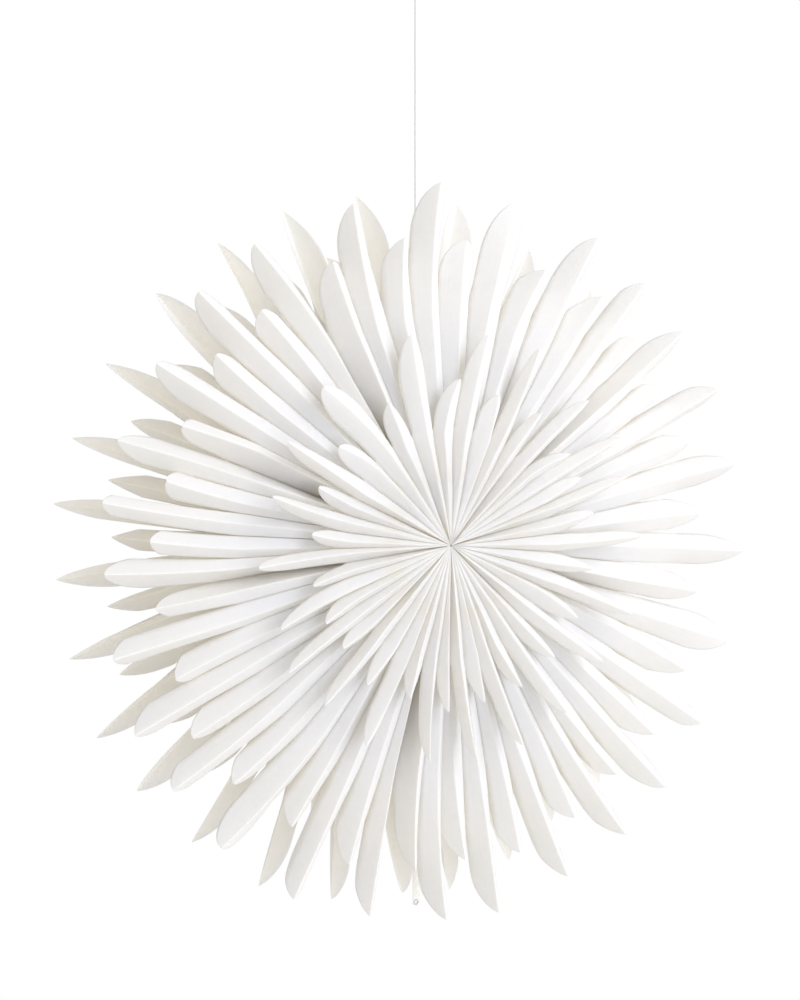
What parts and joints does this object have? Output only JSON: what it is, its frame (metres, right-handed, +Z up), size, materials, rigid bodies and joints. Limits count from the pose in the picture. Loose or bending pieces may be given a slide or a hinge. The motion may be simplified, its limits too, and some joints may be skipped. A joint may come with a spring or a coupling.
{
  "type": "paper star lamp",
  "caption": "Hanging lamp shade of glued folded paper tubes fanned into a round star, with cut petal tips, bulb and ceiling fitting.",
  "frame": {"origin": "centre of the ceiling strip's upper face, between its two screw holes, on the ceiling", "axes": "+Z up to the ceiling; Y is the star's axis, with the front towards -Y; +X to the right seen from the front. The star's centre lies 0.81 m below the origin"},
  "size_m": [0.998, 0.2416, 1.3145],
  "materials": {
    "petal_paper": "matt uncoated paper, lets some light through",
    "closing_card": "matt card",
    "eyelet": "satin",
    "holder_plastic": "white, satin",
    "porcelain": "glazed porcelain",
    "bulb_glass": "opal glass",
    "cord": "white sheath, satin",
    "zinc_steel": "zinc plated"
  },
  "bodies": {
    "root": {"middle_petals_1": "petal_paper", "middle_petals_2": "petal_paper", "middle_petals_3": "petal_paper", "middle_petals_4": "petal_paper", "middle_petals_5": "petal_paper", "middle_petals_6": "petal_paper", "middle_petals_7": "petal_paper", "middle_petals_8": "petal_paper", "middle_petals_9": "petal_paper", "middle_petals_10": "petal_paper", "middle_petals_11": "petal_paper", "middle_petals_12": "petal_paper", "middle_petals_13": "petal_paper", "middle_petals_14": "petal_paper", "middle_petals_15": "petal_paper", "middle_petals_16": "petal_paper", "middle_petals_17": "petal_paper", "middle_petals_18": "petal_paper", "middle_petals_19": "petal_paper", "middle_petals_20": "petal_paper", "middle_petals_21": "petal_paper", "middle_petals_22": "petal_paper", "middle_petals_23": "petal_paper", "middle_petals_24": "petal_paper", "middle_petals_25": "petal_paper", "middle_petals_26": "petal_paper", "middle_petals_27": "petal_paper", "middle_petals_28": "petal_paper", "middle_petals_29": "petal_paper", "front_petals_1": "petal_paper", "front_petals_2": "petal_paper", "front_petals_3": "petal_paper", "front_petals_4": "petal_paper", "front_petals_5": "petal_paper", "front_petals_6": "petal_paper", "front_petals_7": "petal_paper", "back_petals_1": "petal_paper", "back_petals_2": "petal_paper", "back_petals_3": "petal_paper", "back_petals_4": "petal_paper", "back_petals_5": "petal_paper", "back_petals_6": "petal_paper", "back_petals_7": "petal_paper", "closing_card_left": "closing_card", "closing_card_right": "closing_card", "closing_tab": "closing_card", "closing_eyelet": "eyelet", "hanger_disc": "holder_plastic", "holder_cap": "holder_plastic", "holder_body": "holder_plastic", "holder_ring": "holder_plastic", "holder_insert": "porcelain", "bulb": "bulb_glass", "cord": "cord", "cord_grip": "holder_plastic", "ceiling_cup": "holder_plastic", "ceiling_nuts": "zinc_steel", "ceiling_nipple": "zinc_steel", "ceiling_strip": "zinc_steel"}
  },
  "joints": []
}
